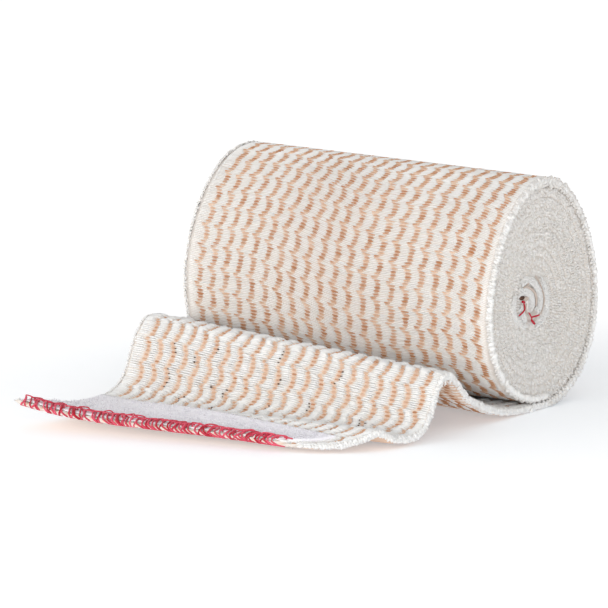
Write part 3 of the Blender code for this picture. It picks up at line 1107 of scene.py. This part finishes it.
leg_lines = np.concatenate([leg_paths(1.5 * MM), leg_paths(-0.7 * MM)[::3]])
leg_lines[..., 2] = np.maximum(leg_lines[..., 2], LEG_THICK / 2)
leg_radii = LEG_THICK / 2 * draw.uniform(0.75, 1.15, (len(leg_lines), 1))
leg_ups = upper.normal(0 * leg_lines[:, 0, 0], leg_lines[:, 0, 0]) + [0.3, 0, 0]
leg_tones = draw.normal(0.45, 0.3, len(leg_lines))
legs = tubes("overlock_legs", leg_lines, leg_radii, leg_ups, red, 6, tones=leg_tones)

# %% [markdown]
# The links are three long threads in waves. Two swing against each other, and the
# third has a shorter wave.

# %% The overlock's links
LINK_THICK = 0.29 * MM
LINK_WAVE, LINK_KNOT = 4.3 * MM, 0.8 * MM
LINK_SWING, LINK_STRAY = 0.60 * MM, 0.30 * MM
LINK_LIFT, LINK_ROLL, LINK_RISE = 0.46 * MM, 0.32 * MM, 0.16 * MM


def link_paths(middle, wave, phase, count=520):
    """One thread of the links; its waves rise off the cloth, which is what shows from low down."""
    across = np.linspace(LEG_FIRST - 1.4 * MM, LEG_LAST, count)
    knots = int((LEG_LAST - LEG_FIRST) / LINK_KNOT)
    at = np.linspace(0, knots - 1, count)
    stray = np.interp(at, np.arange(knots), draw.normal(0, 1, knots))
    rise = np.interp(at, np.arange(knots), draw.normal(0, 1, knots))
    turn = across / wave * 2 * np.pi + phase + 0.5 * stray
    along = middle + LINK_SWING * np.sin(turn) + LINK_STRAY * stray
    lift = LINK_LIFT + LINK_ROLL * np.cos(turn) + LINK_RISE * rise
    return upper.at(along, across + 0.3 * MM * np.sin(2 * turn), lift)


links = np.stack([
    link_paths(2.6 * MM, LINK_WAVE, 0.0),
    link_paths(2.6 * MM, LINK_WAVE, math.pi),
    link_paths(2.1 * MM, LINK_WAVE * 0.63, 2.0),
])
link_radii, link_ups = np.array([[LINK_THICK / 2]]), np.array([[0.0, 0.0, 1.0]])
link_tones = np.array([0.30, 0.50, 0.70])
link_piece = tubes("overlock_links", links, link_radii, link_ups, red, 5, tones=link_tones)

# %% [markdown]
# The hem that starts the roll is overlocked in the same red. Only a few ends of its
# thread show at the core, and they lie in front of the folds.

# %% Red ends at the core
THREAD_LIFT = 0.42 * MM
CORE_THREADS = (
    (0.42, ((-9.5, 23.7), (-9.0, 22.6), (-9.7, 21.9), (-11.4, 21.3))),
    (0.34, ((-7.4, 21.5), (-6.6, 20.8), (-6.1, 20.1), (-6.1, 19.6))),
    (0.40, ((-6.1, 20.4), (-4.4, 20.4), (-2.9, 20.5))),
    (0.58, ((-6.2, 19.8), (-5.5, 19.3), (-4.8, 18.8))),
    (0.55, ((-10.2, 24.1), (-9.6, 24.0), (-9.1, 23.8))),
)
for number, (thick, places) in enumerate(CORE_THREADS, 1):
    face_cord(f"core_thread_{number}", places, THREAD_LIFT, thick * MM, red, 0.0, 20, 0.7)

# %% [markdown]
# ## Floor and light
#
# The photo is a product shot on white. A white surround lights everything evenly, and
# three soft lamps in front give the roll its shape. Stronger lamps would burn out the
# cotton before the floor is white, so the floor glows a little by itself, and less so
# near the object, where its shadow has to show.

# %% Floor and light
# The glow is painted light. Near the object it is bluer, so that the warm light bounced from the
# yarns leaves the shadow there grey.
GLOW_NEAR, GLOW_FAR = (0.19, 0.225, 0.26, 1.0), (0.41, 0.42, 0.43, 1.0)
GLOW_SLOPE, GLOW_START = 9.0, 0.5
SURROUND_STRENGTH = 0.645
floor_paint = Paint("floor_white", Roughness=0.9, Emission_Strength=1.0)
floor_paint.feed("Base Color", (0.98, 0.96, 0.94, 1.0))
floor_place = floor_paint.node("TexCoord", "Object")
away = floor_paint.node("VectorMath", "Value", {0: floor_place}, operation="LENGTH")
glow = floor_paint.mix(away * GLOW_SLOPE - GLOW_START, GLOW_NEAR, GLOW_FAR)
floor_paint.feed("Emission Color", glow)
bpy.ops.mesh.primitive_plane_add(size=8.0, location=(0, 0, -FLOOR_GAP))
floor = bpy.context.object
floor.name = "floor"
floor.data.materials.append(floor_paint.material)
world = bpy.data.worlds.new("white_surround")
bpy.context.scene.world = world
world.use_nodes = True
surround = world.node_tree.nodes["Background"]
surround.inputs["Color"].default_value = (1.0, 1.0, 1.0, 1.0)
surround.inputs["Strength"].default_value = SURROUND_STRENGTH
LAMPS = (
    ("front", (-0.40, -1.16, 0.18), 0.9, 4.3),
    ("low_front", (-0.05, -0.80, 0.04), 0.5, 0.9),
    ("beside_camera", (0.58, -1.01, 0.15), 0.6, 5.7),
)
for name, place, size, power in LAMPS:
    lamp = bpy.data.lights.new(name, "AREA")
    lamp.size, lamp.energy = size, power
    made = bpy.data.objects.new(name, lamp)
    made.location = place
    made.rotation_euler = Vector(place).to_track_quat("Z", "Y").to_euler()
    bpy.context.scene.collection.objects.link(made)
bpy.context.scene.view_settings.view_transform = "Standard"
print("soft lamps:", len(LAMPS))

# %% [markdown]
# ## Camera
#
# The photo was taken with a long lens, low, from the front right. The camera was
# solved from the outlines of the roll and of the free end, as a direction, a distance
# and a focal length in pixels of the photo.

# %% Camera
FRAME_PIXELS = 608
FOCAL_PIXELS = 2800.0
CAMERA_AZIMUTH, CAMERA_ELEVATION = math.radians(34.4947), math.radians(7.9432)
CAMERA_DISTANCE = 557.99 * MM
CAMERA_TARGET = Vector((13.58 * MM, -53.63 * MM, 26.66 * MM))
level = math.cos(CAMERA_ELEVATION)
back = Vector((
    math.sin(CAMERA_AZIMUTH) * level, -math.cos(CAMERA_AZIMUTH) * level, math.sin(CAMERA_ELEVATION)
))
camera = bpy.data.objects.new("camera", bpy.data.cameras.new("camera"))
camera.data.sensor_width = 36.0
camera.data.lens = camera.data.sensor_width * FOCAL_PIXELS / FRAME_PIXELS
camera.data.clip_start = 0.01
camera.location = CAMERA_TARGET + back * CAMERA_DISTANCE
camera.rotation_euler = back.to_track_quat("Z", "Y").to_euler()
bpy.context.scene.collection.objects.link(camera)
bpy.context.scene.camera = camera
print(f"lens {camera.data.lens:.1f} mm")
